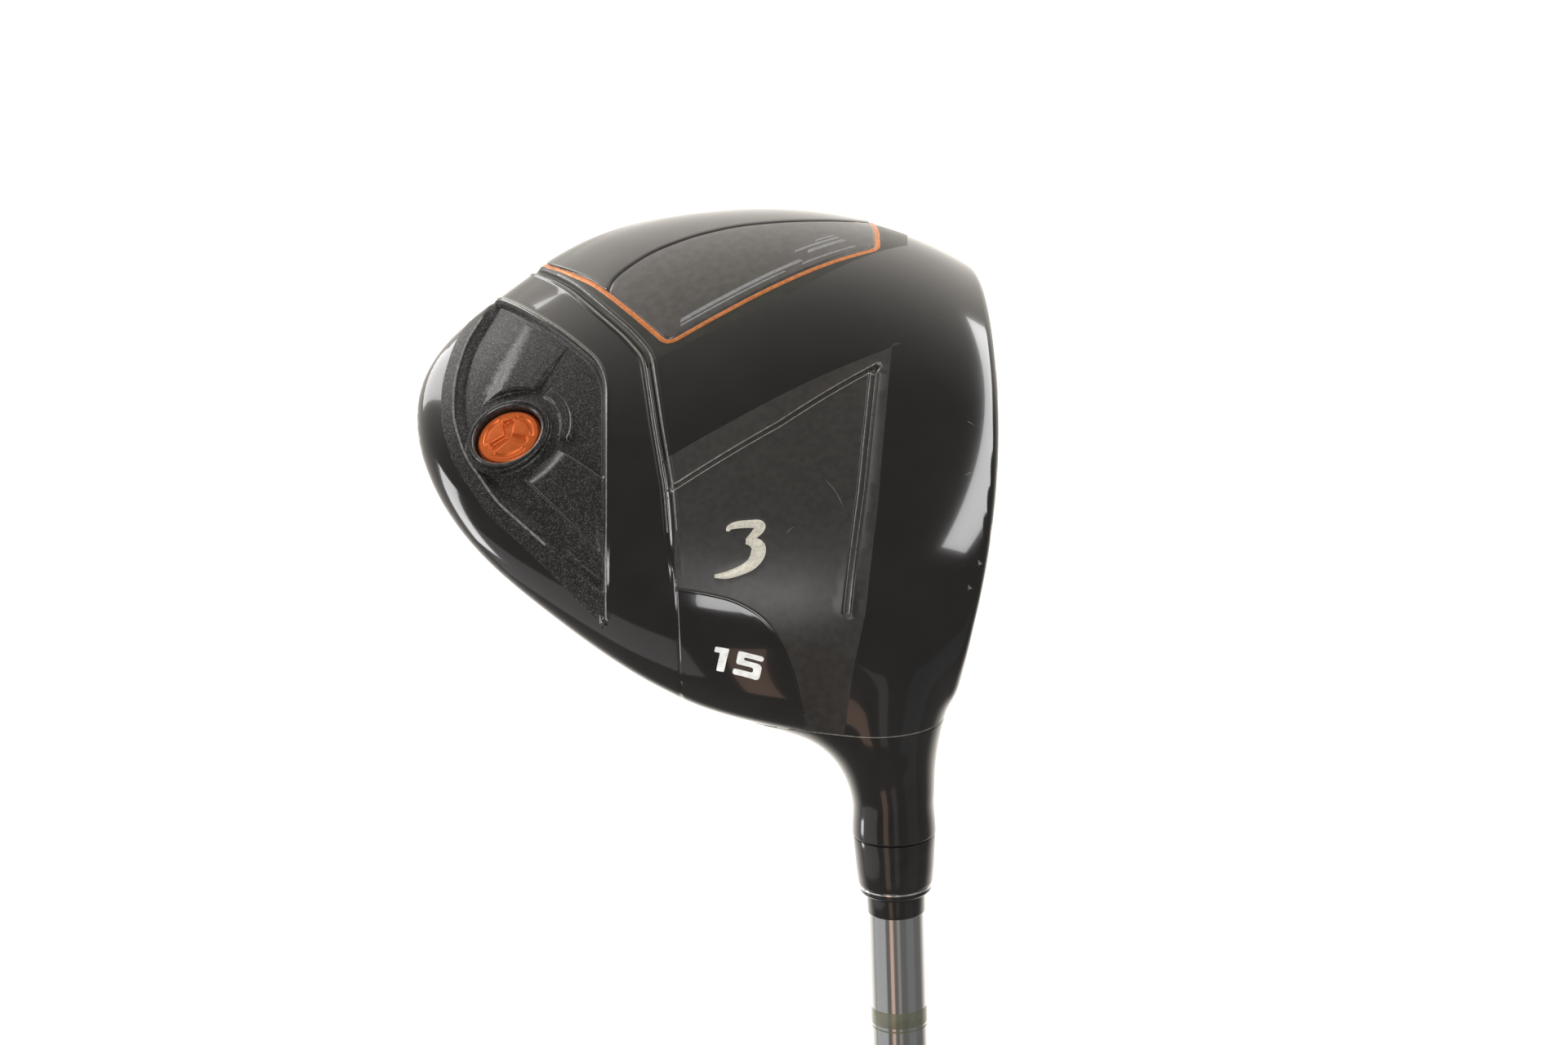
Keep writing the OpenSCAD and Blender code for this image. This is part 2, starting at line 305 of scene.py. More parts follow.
def thick_stroke(points, widths, per=10):
    """Closed outline of a pen stroke through points with a width at each."""
    p = np.array(points, float)
    w = np.array(widths, float)
    n = len(p)
    q = np.linspace(0, n - 1, (n - 1) * per + 1)
    i = np.minimum(q.astype(int), n - 2)
    u = (q - i)[:, None]
    take = lambda k: np.column_stack([p, w])[np.clip(i + k, 0, n - 1)]
    p0, p1, p2, p3 = take(-1), take(0), take(1), take(2)
    c = p1 + u / 2 * (p2 - p0 + u * (2 * p0 - 5 * p1 + 4 * p2 - p3 + u * (3 * (p1 - p2) + p3 - p0)))
    mid, half = c[:, :2], c[:, 2:] / 2
    t = np.gradient(mid, axis=0)
    t = t / np.maximum(np.linalg.norm(t, axis=1, keepdims=True), 1e-9)
    side = np.stack([-t[:, 1], t[:, 0]], -1) * half
    return np.vstack([mid + side, (mid - side)[::-1]])


# ---------------------------------------------------------------- lines on the sole
BADGE = rounded(
    [(65.5, -51), (57, -43.5), (40.4, -32.2), (58.4, 0.4), (64, 0.4), (82, -2), (82, -55)], 1.3, True
)
OLIVE = [(64, -53), (39.3, -36.4), (36.6, -35.6), (45.6, -15.4), (60.8, 5.5), (84, 6), (84, -60)]
STEP = rounded(
    [(72, -58), (63, -51.2), (57.7, -47.3), (50.1, -42.7), (43.4, -38.3), (38.2, -35.5), (24, -34.1),
     (11.4, -32.6), (-4.6, -31.8), (-14, -31.7), (-18, -32)], 2.0
)
BAND_LOW = [(17, -33.4), (34.3, 0.4), (36.3, 3.6)]
MATTE_EDGE = rounded([(36.3, 3.6), (36.3, 2.3), (23.1, 0.9), (5.1, -1), (-10.8, -3.4), (-24, -7.6)], 0.8)
PATCH = rounded(
    [(-4.8, -31.8), (-6.2, -28), (-8.2, -23), (-11, -18.8), (-14.6, -15.8), (-18, -14), (-24, -12)], 2
)
PLATE = np.vstack([BAND_LOW, MATTE_EDGE, PATCH[::-1], [(11.4, -32.6)]])
VEE = rounded([(11.6, -31.9), (20.8, -15.4), (31.6, 0.1), (30.4, -0.7)], 0.5)
CHANNEL = [(30.3, -0.8), (7.9, -3.4), (-10.9, -6.3)]
ARC = rounded(
    [(53.6, -41.4), (56.3, -40.6), (58.6, -38.4), (61.6, -34.3), (64, -27.9), (65.3, -21.4), (65.8, -8.6),
     (66.7, -2.2), (68, 0.5)], 2.5
)
WING_FRONT = rounded(
    [(62, -61), (58, -57.4), (46.3, -48.5), (38.8, -43.3), (34.1, -42.1), (8.6, -42.5), (-4.6, -42.9)], 2.2
)
WING_REAR = rounded(
    [(-4.6, -42.9), (-1, -46.2), (2.6, -49.3), (16.2, -60.4), (26.5, -65.6), (34.7, -67.5), (42.6, -67.3),
     (51.2, -65.4), (57, -62.6), (62, -61)], 3
)
WING = np.vstack([WING_FRONT, WING_REAR[1:-1]])
WEIGHT = (28.5, -57.5)
FIN = [(36.4, -61.77), (51.6, -54.4), (36.2, -58.86)]
FIN_FOOT = FIN[:2]
FIN_RIDGE = [FIN[2], FIN[1]]
RIB = [(34.6, -54.2), (44.3, -48)]
PANEL = [FIN[2], FIN[1], (44.3, -48), (34.6, -54.2)]
FAN = [(23.8, -49.6), (16, -42.2), (1.5, -42.2), (20.6, -56)]
CREASE = [(17.6, -60.4), (1.5, -43.6)]
THREE_A = ([(2.6, 7.3), (2.9, 7.9), (4, 8.15), (5.8, 8.05), (7.2, 7.8), (7.5, 7.2), (6.7, 6.2), (5.5, 5.2)],
           [0.5, 0.9, 1.2, 1.3, 1.5, 1.6, 1.4, 0.9])
THREE_B = ([(5.3, 5.2), (6.3, 4.95), (7.1, 4.1), (7, 2.8), (6, 1.5), (4.2, 0.75), (2.2, 0.45), (0.4, 0.6)],
           [0.9, 1.5, 2.1, 2.2, 1.8, 1.4, 1.1, 0.5])
SCRATCHES = [
    [(9.7, -8.7), (7.4, -7.2), (4.7, -6.2)], [(0.9, -15), (1.5, -14.5), (2, -13.7)],
    [(-2.4, 11.4), (-2.9, 12.9)], [(-2.6, 11.7), (-1.5, 14.4)], [(-5.3, 11.8), (-5.6, 13)],
    [(12, 12.4), (12.8, 13.6)], [(22, 13.2), (21.2, 14.6)],
]
ONE = [(0.5, 3.8), (2.7, 3.8), (1.8, 0), (0.6, 0), (1.25, 2.85), (0.3, 2.85)]
FIVE = [(4.1, 3.8), (8.1, 3.8), (7.9, 2.95), (5.0, 2.95), (4.9, 2.45), (7.3, 2.45), (7.75, 2.1),
        (7.35, 0.35), (6.9, 0), (3.1, 0), (3.3, 0.85), (6.3, 0.85), (6.45, 1.6), (3.7, 1.6)]


def place_three(uv):
    uv = np.asarray(uv, float)
    return np.stack([-4.8 + uv[:, 1], -26.4 + uv[:, 0]], -1)


def place_fifteen(uv):
    uv = np.asarray(uv, float)
    u, v = uv[:, 0], uv[:, 1]
    return np.stack([-15.3 - 0.3 * u + 0.6 * v, -26.8 + 0.96 * u + 0.03 * v], -1)


THREE = [place_three(thick_stroke(*THREE_A)), place_three(thick_stroke(*THREE_B))]
MARKS = [thick_stroke(line, [0.06] + [0.15] * (len(line) - 2) + [0.06]) for line in SCRATCHES]
FIFTEEN = [place_fifteen(rounded(ONE, 0.12, True)), place_fifteen(rounded(FIVE, 0.3, True))]
BADGE_FOOT = np.array([40.4, -32.2])
along = np.array([58.4, 0.4]) - BADGE_FOOT
along = along / np.linalg.norm(along)
across = np.array([along[1], -along[0]])


def bar(start, end, offset, width):
    """A printed bar beside the badge's long edge, with slanted ends."""
    lo, hi = offset, offset + width
    pts = [(start, lo), (end, lo), (end - width * 0.5, hi), (start + width * 0.5, hi)]
    return np.array([BADGE_FOOT + along * s + across * o for s, o in pts])


BARS = [
    bar(3.0, 22.0, 1.3, 0.35), bar(3.4, 25.5, 2.0, 0.7),
    bar(24.8, 34.6, 1.3, 0.35), bar(27.0, 34.0, 3.3, 0.7),
    bar(25.4, 33.4, 4.5, 0.5), bar(29.5, 33.0, 5.4, 0.35),
]


def groove(d, half, depth):
    """A soft-edged groove; d is the distance to its middle line."""
    return -depth * (1 - smooth(d / half))


def arc_part(angle):
    """1 along the short arc beside the weight, 0 past its ends; the angle is in degrees."""
    return smooth((angle - 40) / 5) * smooth((112 - angle) / 5)


def relief(x, y):
    """Height of the sole's surface over its smooth skin, in mm."""
    h = np.zeros(x.shape)
    # wing recess round the weight's boss, with its fin, panel, fan and arc
    d_front, _, _ = line_distance(x, y, WING_FRONT)
    d_rear, _, _ = line_distance(x, y, WING_REAR)
    in_wing = inside(x, y, WING)
    wx, wy = x - WEIGHT[0], y - WEIGHT[1]
    wr = np.hypot(wx, wy)
    wa = np.degrees(np.arctan2(wy, wx)) % 360
    boss = 1 - smooth((wr - 6.35) / 0.4)
    floor = 1.15 * smooth(d_front / 0.9) * smooth((d_rear - 1.3) / 1.7) * (1 - boss) + 0.08 * boss
    lip = 0.16 * (1 - smooth(np.abs(d_front - 0.4) / 0.4))
    h += np.where(in_wing, -floor, lip)
    clear = smooth((wr - 8.6) / 0.5)
    d_foot, _, _ = line_distance(x, y, FIN_FOOT)
    d_ridge, _, _ = line_distance(x, y, FIN_RIDGE)
    d_rib, _, _ = line_distance(x, y, RIB)
    tall = 0.95 * np.clip(((51.6 - x) * 0.66 - (54.4 + y) * 0.75) / 11, 0, 1) * clear
    in_fin = inside(x, y, FIN)
    h += np.where(in_fin, tall * d_foot / np.maximum(d_foot + d_ridge, 1e-6), 0)
    h += np.where(inside(x, y, PANEL) & ~in_fin, tall * smooth(d_rib / 0.45), 0)
    in_fan = inside(x, y, FAN) & in_wing
    d_fan, _, _ = line_distance(x, y, [FAN[1], FAN[0], FAN[3], FAN[2]])
    h += np.where(in_fan, 1.1 * smooth(d_fan / 0.5) * smooth(d_front / 1.0) * smooth((wr - 8.0) / 3.4), 0)
    d_cr, _, _ = line_distance(x, y, CREASE)
    h += np.where(in_wing, 0.35 * (1 - smooth(d_cr / 1.2)) * smooth(d_front) * smooth((15 - x) / 5), 0)
    h += 0.85 * arc_part(wa) * (1 - smooth((np.abs(wr - 9.15) - 0.6) / 0.32))
    # the step line, which thins out on the skirt
    d, _, _ = line_distance(x, y, STEP)
    thin = smooth((x + 5) / 12)
    h += groove(d, 0.3 + 0.3 * thin, 0.12 + 0.33 * thin)
    h += 0.17 * thin * (1 - smooth(np.abs(d - 1.0) / 0.42))
    # grooves on the plate
    d, _, _ = line_distance(x, y, VEE)
    h += groove(d, 0.42, 0.34) + 0.07 * (1 - smooth(np.abs(d - 0.6) / 0.25))
    d, _, _ = line_distance(x, y, CHANNEL)
    h -= 0.34 * (1 - smooth((d - 0.35) / 0.3)) - 0.07 * (1 - smooth(np.abs(d - 0.8) / 0.25))
    d, _, _ = line_distance(x, y, PATCH)
    h += groove(d, 0.3, 0.1)
    # badge, trim and the line across the badge
    in_badge = inside(x, y, BADGE)
    d, _, _ = line_distance(x, y, np.vstack([BADGE, BADGE[:1]]))
    h += np.where(in_badge, 0.22 * smooth(d / 0.35), 0)
    h += np.where(in_badge, 0, 0.16 * (1 - smooth(np.abs(d - 0.4) / 0.42)))
    d, side, _ = line_distance(x, y, ARC)
    h += np.where(in_badge, groove(d, 0.35, 0.16) + 0.1 * np.where(side < 0, smooth(d / 0.8), 0), 0)
    # engraved number, painted number
    for loop in THREE:
        box = (x > -7) & (x < 6) & (y > -29) & (y < -15)
        if box.any():
            dd, _, _ = line_distance(x[box], y[box], np.vstack([loop, loop[:1]]))
            cut = np.where(inside(x[box], y[box], loop), 0.16 * smooth(dd / 0.22), 0)
            h[box] = np.minimum(h[box], -cut)
    return h


def region_of(x, y, z, s):
    """0 gloss, 1 matte plate, 2 wing, 3 olive border, 4 silver number, 5 white number, 6 badge, 7 trim,
    8 badge bars, 9 upper badge, 10 painted highlight along edges that catch the light, 11 scratches."""
    reg = np.zeros(x.shape, int)
    reg[inside(x, y, PLATE)] = 1
    in_olive = inside(x, y, OLIVE)
    reg[in_olive] = 3
    in_wing = inside(x, y, WING)
    d, _, _ = line_distance(x, y, WING_REAR)
    # a thin line inside the wing's rear rim, later given the painted highlight
    rear_edge = in_wing & (np.abs(d - 1.45) < 0.15) & (x > 8) & (x < 56)
    reg[in_wing | ((d < 0.5) & (y < -44))] = 2
    d, _, _ = line_distance(x, y, np.vstack([BADGE, BADGE[:1]]))
    in_badge = inside(x, y, BADGE)
    reg[in_badge] = 6
    reg[~in_badge & (d < 0.8)] = 7
    d, side, _ = line_distance(x, y, ARC)
    reg[in_badge & (side < 0)] = 9
    for loop in BARS:
        reg[inside(x, y, loop)] = 8
    # painted highlight: thin lighter lines along the step line, the V, the channel, the wing's rims, the arc
    # beside the weight and the fan's edge, standing in for light caught by these edges
    d, _, _ = line_distance(x, y, STEP)
    painted_highlight = (np.abs(d - 0.7) < 0.1) & (x > 4) & (x < 62)
    d, _, _ = line_distance(x, y, VEE)
    painted_highlight |= np.abs(d - 0.51) < 0.09
    d, _, _ = line_distance(x, y, CHANNEL)
    painted_highlight |= np.abs(d - 0.425) < 0.075
    d, _, _ = line_distance(x, y, WING_FRONT)
    painted_highlight |= ~in_wing & (np.abs(d - 0.3) < 0.1) & (x > -2)
    wr = np.hypot(x - WEIGHT[0], y - WEIGHT[1])
    on_arc = arc_part(np.degrees(np.arctan2(y - WEIGHT[1], x - WEIGHT[0])) % 360) > 0.5
    painted_highlight |= on_arc & ((np.abs(wr - 8.5) < 0.1) | (np.abs(wr - 9.85) < 0.1))
    d, _, _ = line_distance(x, y, FAN[:2])
    painted_highlight |= (inside(x, y, FAN) & (d < 0.25) & in_wing) | rear_edge
    reg[painted_highlight & (reg < 6)] = 10
    for loop in MARKS:
        reg[inside(x, y, loop)] = 11
    for loop in THREE:
        reg[inside(x, y, loop)] = 4
    for loop in FIFTEEN:
        reg[inside(x, y, loop)] = 5
    reg[(z > girth_z(x) + 1) & (reg > 9)] = 0
    reg[s > NECK_S - 0.01] = 0
    return reg


def on_sole(xy):
    """Points of the sole straight below plan points."""
    xy = np.asarray(xy, float)
    start = np.column_stack([xy, girth_z(xy[:, 0]) + 0.5])
    down = np.tile([0.0, 0.0, -1.0], (len(xy), 1))
    ok = cut_field(start) < 0
    t = root(start, down, 0, 30, cut_field, 40)
    p = start + down * t[:, None]
    return p[ok]


def runs(points, mask):
    """The stretches of a polyline where mask holds."""
    out = []
    cur = []
    for p, m in zip(points, mask):
        if m:
            cur.append(p)
        elif cur:
            out.append(np.array(cur))
            cur = []
    if cur:
        out.append(np.array(cur))
    return [c for c in out if len(c) > 1]


def sole_lines(line, offsets, step=0.5, closed=False):
    """A plan line and its offsets as lines lying on the sole."""
    base = resampled(line, step, closed)
    if closed:
        base = np.vstack([base, base[:1]])
    out = []
    for off in offsets:
        xy = moved(base, off)
        start = np.column_stack([xy, girth_z(xy[:, 0]) + 0.5])
        ok = cut_field(start) < -0.3
        for part in runs(xy, ok):
            p = on_sole(part)
            if len(p) > 1:
                out.append(p)
    return out


# ---------------------------------------------------------------- head meshes
def cast(directions, fn=cut_field):
    t = root(CORE, directions, 8, 80, fn)
    return CORE + directions * t[:, None]


def seam_z(x):
    return girth_z(x) + 0.8 + 16 * smooth(-x / 10)


def seam_curve(n=420):
    """The crown's edge: where the skin crosses the seam height, for each way out of the core."""
    phi = np.linspace(0, 2 * math.pi, n, endpoint=False)
    lo = np.full(n, math.radians(-25.0))
    hi = np.full(n, math.radians(50.0))
    for _ in range(24):
        el = (lo + hi) / 2
        d = np.stack([np.cos(el) * np.cos(phi), np.cos(el) * np.sin(phi), np.sin(el)], -1)
        p = cast(d)
        over = p[:, 2] > seam_z(p[:, 0])
        hi = np.where(over, el, hi)
        lo = np.where(over, lo, el)
    return p


def face_curve(n=260):
    """The face's outline, a little inside the rounding of its edge."""
    a = np.linspace(0, 2 * math.pi, n, endpoint=False)
    lo = np.zeros(n)
    hi = np.full(n, 60.0)
    for _ in range(26):
        r = (lo + hi) / 2
        x = 29 + r * np.cos(a)
        z = 18 + r * np.sin(a)
        d = smax(body(x, face_y(x, z), z), -1.5 - x, 7)
        out = d > -1.1
        hi = np.where(out, r, hi)
        lo = np.where(out, lo, r)
    p = np.stack([x, face_y(x, z), z], -1)
    d = p - CORE
    return cast(d / np.linalg.norm(d, axis=1, keepdims=True))


def neck_ways(n):
    """n directions straight out from the hosel's axis."""
    a = np.linspace(0, 2 * math.pi, n, endpoint=False)
    e1 = np.array([0.0, 1.0, 0.0])
    return np.cos(a)[:, None] * e1 + np.sin(a)[:, None] * np.cross(AXIS, e1)


def neck_curve(n=96):
    d = neck_ways(n)
    t = root(AXIS * NECK_S, d, 3, 40, field, 60)
    return AXIS * NECK_S + d * t[:, None]


def sheet(up, loops, lines, spacing, charts=(to_chart, from_chart), holes=()):
    """A mesh over part of the head's skin: triangles, points and normals, before relief."""
    fwd, back = charts
    verts = []
    edges = []

    def add(pts, closed):
        c = fwd(pts, up)
        start = len(verts)
        verts.extend(c.tolist())
        n = len(c)
        for i in range(n - 1):
            edges.append((start + i, start + i + 1))
        if closed:
            edges.append((start + n - 1, start))
        return c

    flat_loops = [add(p, True) for p in loops]
    flat_holes = [add(p, True) for p in holes]
    outer = flat_loops[0]
    for p in lines:
        c = fwd(p, up)
        keep = inside(c[:, 0], c[:, 1], outer)
        for h in flat_holes:
            keep &= ~inside(c[:, 0], c[:, 1], h)
        for part in runs(p, keep):
            add(part, False)
    lo, hi = outer.min(0), outer.max(0)
    cell = spacing * 0.5
    size = np.ceil((hi - lo) / cell).astype(int) + 5
    mark = np.zeros(size, bool)
    ij = ((np.array(verts) - lo) / cell + 2).astype(int)
    ij = np.clip(ij, 0, size - 1)
    mark[ij[:, 0], ij[:, 1]] = True
    near = mark.copy()
    for sx in (-1, 0, 1):
        for sy in (-1, 0, 1):
            near |= np.roll(np.roll(mark, sx, 0), sy, 1)
    gx, gy = np.meshgrid(np.arange(lo[0], hi[0], spacing), np.arange(lo[1], hi[1], spacing * 0.866))
    gx = gx + (np.arange(gx.shape[0]) % 2)[:, None] * spacing / 2
    g = np.stack([gx.ravel(), gy.ravel()], -1)
    keep = inside(g[:, 0], g[:, 1], outer)
    for h in flat_holes:
        keep &= ~inside(g[:, 0], g[:, 1], h)
    gi = np.clip(((g - lo) / cell + 2).astype(int), 0, size - 1)
    keep &= ~near[gi[:, 0], gi[:, 1]]
    verts.extend(g[keep].tolist())
    res = delaunay_2d_cdt([Vector(v) for v in verts], edges, [], 0, 1e-5)
    c = np.array([v[:] for v in res[0]])
    tri = np.array([f for f in res[2] if len(f) == 3])
    mid = c[tri].mean(1)
    keep = inside(mid[:, 0], mid[:, 1], outer)
    for h in flat_holes:
        keep &= ~inside(mid[:, 0], mid[:, 1], h)
    tri = tri[keep]
    used = np.unique(tri)
    index = np.full(len(c), -1)
    index[used] = np.arange(len(used))
    tri = index[tri]
    c = c[used]
    p = cast(back(c, up))
    n = normals_of(p)
    a, b, q = p[tri[:, 0]], p[tri[:, 1]], p[tri[:, 2]]
    flip = (np.cross(b - a, q - a) * n[tri].mean(1)).sum(1) < 0
    tri[flip] = tri[flip][:, [0, 2, 1]]
    return p, n, tri


def lifted(p, n, fn, limit=None, axes=(0, 1)):
    """Points and normals after a relief fn(u, v) is laid on the skin; u and v lie along the two axes."""
    e = 0.03
    u, v = p[:, axes[0]], p[:, axes[1]]
    h = fn(u, v)
    g = np.zeros(p.shape)
    g[:, axes[0]] = (fn(u + e, v) - fn(u - e, v)) / (2 * e)
    g[:, axes[1]] = (fn(u, v + e) - fn(u, v - e)) / (2 * e)
    if limit is not None:
        h = h * limit
        g = g * limit[:, None]
    g = g - (g * n).sum(1, keepdims=True) * n
    out = n - g
    return p + n * h[:, None], out / np.linalg.norm(out, axis=1, keepdims=True)


def new_piece(name, points, faces, materials, body_name, normals=None, index=None, flat=False):
    """Points in metres in the club's frame."""
    mesh = bpy.data.meshes.new(name)
    faces = [tuple(int(i) for i in f) for f in faces]
    mesh.from_pydata([tuple(v) for v in np.asarray(points, float)], [], faces)
    mesh.update()
    for m in materials:
        mesh.materials.append(m)
    if index is not None:
        mesh.polygons.foreach_set("material_index", np.asarray(index, np.int32))
    mesh.polygons.foreach_set("use_smooth", np.full(len(mesh.polygons), not flat))
    if normals is not None:
        mesh.normals_split_custom_set_from_vertices([tuple(v) for v in normals])
    mesh.validate()
    mesh.update()
    obj = bpy.data.objects.new(name, mesh)
    bpy.context.scene.collection.objects.link(obj)
    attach(obj, body_name)
    return obj


def subset(points, normals, tri, keep):
    tri = tri[keep]
    used = np.unique(tri)
    index = np.full(len(points), -1)
    index[used] = np.arange(len(used))
    return points[used], normals[used], index[tri]


# ---------------------------------------------------------------- materials
def material(name, low, high, rough, metallic=0.0, coat=0.0, coat_rough=0.03, scale=300.0, detail=4.0,
             rough_spread=0.06, bump=0.0, bump_scale=2500.0, stretch=(1, 1, 1), kind="noise"):
    """A procedural material: two colours mixed by noise or by flakes, with uneven roughness."""
    m = bpy.data.materials.new(name)
    m.use_nodes = True
    nt = m.node_tree
    bsdf = nt.nodes["Principled BSDF"]
    link = nt.links.new
    coord = nt.nodes.new("ShaderNodeTexCoord")
    mapping = nt.nodes.new("ShaderNodeMapping")
    mapping.inputs["Scale"].default_value = stretch
    link(coord.outputs["Object"], mapping.inputs["Vector"])
    if kind == "flake":
        tex = nt.nodes.new("ShaderNodeTexVoronoi")
        tex.inputs["Scale"].default_value = scale
        link(mapping.outputs["Vector"], tex.inputs["Vector"])
        split = nt.nodes.new("ShaderNodeSeparateColor")
        link(tex.outputs["Color"], split.inputs["Color"])
        source = split.outputs["Red"]
    else:
        tex = nt.nodes.new("ShaderNodeTexNoise")
        tex.inputs["Scale"].default_value = scale
        tex.inputs["Detail"].default_value = detail
        link(mapping.outputs["Vector"], tex.inputs["Vector"])
        source = tex.outputs["Fac"]
    ramp = nt.nodes.new("ShaderNodeValToRGB")
    stops = (0.62, 0.98) if kind == "flake" else (0.35, 0.65)
    ramp.color_ramp.elements[0].position = stops[0]
    ramp.color_ramp.elements[0].color = (*low, 1)
    ramp.color_ramp.elements[1].position = stops[1]
    ramp.color_ramp.elements[1].color = (*high, 1)
    link(source, ramp.inputs["Fac"])
    link(ramp.outputs["Color"], bsdf.inputs["Base Color"])
    wear = nt.nodes.new("ShaderNodeTexNoise")
    wear.inputs["Scale"].default_value = scale * 0.37
    link(mapping.outputs["Vector"], wear.inputs["Vector"])
    span = nt.nodes.new("ShaderNodeMapRange")
    span.inputs["To Min"].default_value = max(0.02, rough - rough_spread)
    span.inputs["To Max"].default_value = min(1.0, rough + rough_spread)
    link(wear.outputs["Fac"], span.inputs["Value"])
    link(span.outputs["Result"], bsdf.inputs["Roughness"])
    if bump:
        grain = nt.nodes.new("ShaderNodeTexNoise")
        grain.inputs["Scale"].default_value = bump_scale
        grain.inputs["Detail"].default_value = 3
        link(mapping.outputs["Vector"], grain.inputs["Vector"])
        b = nt.nodes.new("ShaderNodeBump")
        b.inputs["Strength"].default_value = bump
        b.inputs["Distance"].default_value = 0.0001
        link(grain.outputs["Fac"], b.inputs["Height"])
        link(b.outputs["Normal"], bsdf.inputs["Normal"])
    bsdf.inputs["Metallic"].default_value = metallic
    bsdf.inputs["Coat Weight"].default_value = coat
    bsdf.inputs["Coat Roughness"].default_value = coat_rough
    return m


GLOSS = material("gloss_black", (0.0045, 0.004, 0.0042), (0.007, 0.006, 0.0062), 0.12, coat=0.6,
                 rough_spread=0.04, scale=160)
CROWN = material("crown_black", (0.004, 0.004, 0.0045), (0.007, 0.007, 0.0075), 0.1, coat=1.0, scale=120)
MATTE = material("matte_plate", (0.012, 0.0105, 0.0095), (0.020, 0.0175, 0.0155), 0.42, scale=900,
                 bump=0.12, bump_scale=9000)
WING_M = material("satin_flake", (0.012, 0.0117, 0.0115), (0.09, 0.088, 0.088), 0.36, metallic=0.5,
                  scale=7000, kind="flake", bump=0.06, bump_scale=9000)
OLIVE_M = material("olive_satin", (0.0115, 0.0115, 0.008), (0.018, 0.018, 0.013), 0.32, scale=500)
SILVER = material("silver_fill", (0.46, 0.44, 0.37), (0.62, 0.59, 0.51), 0.42, metallic=0.15, scale=2200)
WHITE = material("white_fill", (0.62, 0.64, 0.62), (0.78, 0.80, 0.78), 0.35, scale=900)
BADGE_M = material("badge_satin", (0.036, 0.033, 0.030), (0.056, 0.052, 0.048), 0.3, coat=0.4, scale=700)
BADGE_UP = material("badge_gloss", (0.024, 0.023, 0.022), (0.036, 0.034, 0.032), 0.2, coat=0.6, scale=300)
BAR_M = material("bar_grey", (0.17, 0.17, 0.175), (0.23, 0.23, 0.235), 0.35, scale=1400)
TRIM_M = material("orange_line", (0.44, 0.145, 0.042), (0.62, 0.22, 0.07), 0.32, metallic=0.45, scale=1600)
NECK_M = material("neck_black", (0.0045, 0.004, 0.004), (0.007, 0.006, 0.0062), 0.13, coat=0.5, scale=200)
FACE_M = material("face_brushed", (0.035, 0.035, 0.037), (0.075, 0.075, 0.079), 0.34, metallic=0.9,
                  scale=420, stretch=(1, 0.08, 1), bump=0.15, bump_scale=5000)
SCORE_M = material("score_fill", (0.25, 0.25, 0.26), (0.42, 0.42, 0.43), 0.4, metallic=0.5, scale=900)
PORT_M = material("port_satin", (0.05, 0.05, 0.05), (0.09, 0.088, 0.086), 0.27, metallic=0.8, scale=1500)
ORANGE = material("orange_anodised", (0.58, 0.115, 0.022), (0.65, 0.138, 0.03), 0.32, metallic=0.75,
                  rough_spread=0.03, scale=900)
FERRULE = material("ferrule_black", (0.0045, 0.0042, 0.0042), (0.0085, 0.008, 0.008), 0.14, coat=0.4,
                   scale=300)
RING = material("bright_ring", (0.66, 0.66, 0.66), (0.82, 0.82, 0.82), 0.14, metallic=1.0, scale=800)
FOIL = material("shaft_foil", (0.42, 0.43, 0.44), (0.50, 0.51, 0.52), 0.13, metallic=1.0, coat=0.6,
                rough_spread=0.04, scale=90, stretch=(1, 1, 0.1))
BAND = material("shaft_band", (0.13, 0.14, 0.10), (0.19, 0.20, 0.15), 0.25, metallic=0.6, coat=0.5, scale=300)
GRIP_M = material("grip_rubber", (0.014, 0.014, 0.015), (0.026, 0.026, 0.028), 0.72, scale=900,
                  bump=0.3, bump_scale=5000)
RUBBER = material("washer_rubber", (0.014, 0.014, 0.014), (0.024, 0.024, 0.024), 0.8, scale=1500, bump=0.2)
STEEL = material("raw_steel", (0.36, 0.36, 0.37), (0.5, 0.5, 0.51), 0.35, metallic=1.0, scale=500, bump=0.2)
CORK = material("cork_plug", (0.36, 0.24, 0.13), (0.55, 0.4, 0.24), 0.85, scale=900, bump=0.4)
BRASS = material("brass", (0.5, 0.36, 0.13), (0.62, 0.47, 0.2), 0.28, metallic=1.0, scale=400)
TAPE = material("paper_tape", (0.62, 0.57, 0.44), (0.76, 0.71, 0.6), 0.8, scale=700, bump=0.3)
# painted highlight: a light grey for groove lips, rims and seams, standing in for the light these edges catch
EDGE_HIGHLIGHT = material("painted_edge_highlight", (0.13, 0.125, 0.115), (0.24, 0.23, 0.215), 0.3, metallic=0.3, scale=1500)
SCRATCH = material("scratch_light", (0.09, 0.085, 0.08), (0.2, 0.19, 0.18), 0.4, metallic=0.5, scale=900)

# ---------------------------------------------------------------- head pieces
seam = seam_curve()
face_line = face_curve()
neck_line = neck_curve()
face_front = to_front(face_line, 0)
STEP_OFFSETS = (-1.42, -1.2, -1.0, -0.8, -0.6, -0.35, -0.12, 0.12, 0.35, 0.6, 0.8, 1.0, 1.2, 1.42)
